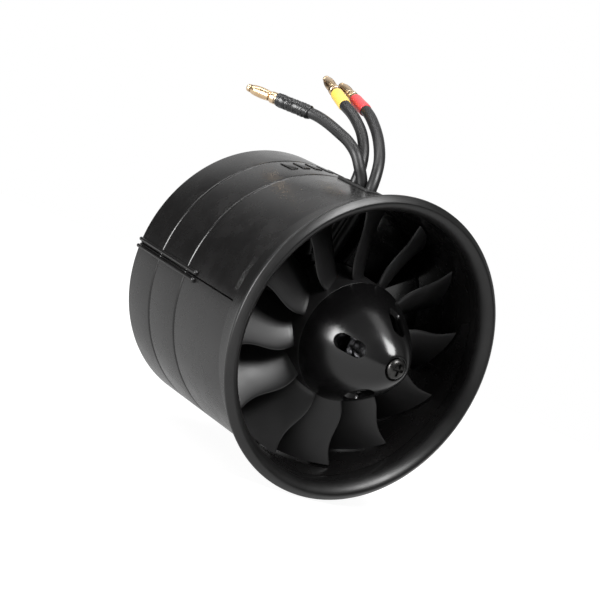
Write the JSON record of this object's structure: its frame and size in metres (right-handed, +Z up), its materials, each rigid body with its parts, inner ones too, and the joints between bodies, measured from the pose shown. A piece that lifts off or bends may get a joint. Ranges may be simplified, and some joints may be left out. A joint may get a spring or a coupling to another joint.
{
  "type": "ducted fan unit",
  "caption": "Electric ducted fan for a model jet: bellmouth inlet, split duct, bladed impeller with spinner, stator, motor, and leads with bullet plugs.",
  "frame": {"origin": "on the fan axis, in the plane of the widest circle of the inlet lip", "axes": "+Y along the fan axis from inlet to exhaust, +Z up through the lead outlet, +X to the right seen from the inlet, through the joint of the two half shells"},
  "size_m": [0.093, 0.1016, 0.1151],
  "materials": {
    "black_nylon": "moulded, satin",
    "rotor_nylon": "moulded glass filled nylon, satin",
    "black_steel": "black oxide",
    "bright_steel": "ground",
    "aluminium": "turned",
    "dark_iron": "laminated",
    "copper_wire": "enamelled copper",
    "grommet_rubber": "soft, matte",
    "silicone_lead": "silicone, slight sheen",
    "black_shrink": "wrinkled heat-shrink",
    "yellow_shrink": "heat-shrink",
    "red_shrink": "heat-shrink",
    "gold_plate": "gold plated, polished"
  },
  "bodies": {
    "housing": {"inlet_lip": "black_nylon", "shell_upper": "black_nylon", "shell_lower": "black_nylon", "stator": "black_nylon", "motor_base": "aluminium", "motor_screw_1": "black_steel", "motor_screw_2": "black_steel", "motor_screw_3": "black_steel", "motor_screw_4": "black_steel", "stator_core": "dark_iron", "windings": "copper_wire", "front_bearing_outer": "bright_steel", "rear_bearing_outer": "bright_steel", "tail_cone": "black_nylon", "tail_screw_1": "black_steel", "tail_screw_2": "black_steel", "tail_screw_3": "black_steel", "wire_grommet": "grommet_rubber", "lead_black": "silicone_lead", "sleeve_black": "black_shrink", "plug_black": "gold_plate", "plug_spring_black": "gold_plate", "lead_yellow": "silicone_lead", "sleeve_yellow": "yellow_shrink", "plug_yellow": "gold_plate", "plug_spring_yellow": "gold_plate", "lead_red": "silicone_lead", "sleeve_red": "red_shrink", "plug_red": "gold_plate", "plug_spring_red": "gold_plate"},
    "rotor": {"impeller": "rotor_nylon", "spinner": "rotor_nylon", "spinner_screw": "black_steel", "rotor_adapter": "aluminium", "adapter_washer": "bright_steel", "adapter_nut": "bright_steel", "grub_screw_1": "black_steel", "grub_screw_2": "black_steel", "motor_shaft": "bright_steel", "shaft_collar": "black_steel", "front_bearing_inner": "bright_steel", "rear_bearing_inner": "bright_steel", "motor_bell": "aluminium", "magnet_ring": "dark_iron"},
    "front_ball_cage": {"front_bearing_cage": "bright_steel"},
    "rear_ball_cage": {"rear_bearing_cage": "bright_steel"}
  },
  "joints": [
    {"name": "rotor_spin", "type": "hinge", "parent": "housing", "child": "rotor", "pos_m": [0, 0, 0], "axis": [0, -1, 0], "continuous": true},
    {"name": "front_cage_spin", "type": "hinge", "parent": "housing", "child": "front_ball_cage", "pos_m": [0, 0.0317, 0], "axis": [0, -1, 0], "continuous": true},
    {"name": "rear_cage_spin", "type": "hinge", "parent": "housing", "child": "rear_ball_cage", "pos_m": [0, 0.0551, 0], "axis": [0, -1, 0], "continuous": true}
  ],
  "couplings": [
    {"joint": "front_cage_spin", "follows": "rotor_spin", "ratio": 0.4},
    {"joint": "rear_cage_spin", "follows": "rotor_spin", "ratio": 0.4}
  ]
}
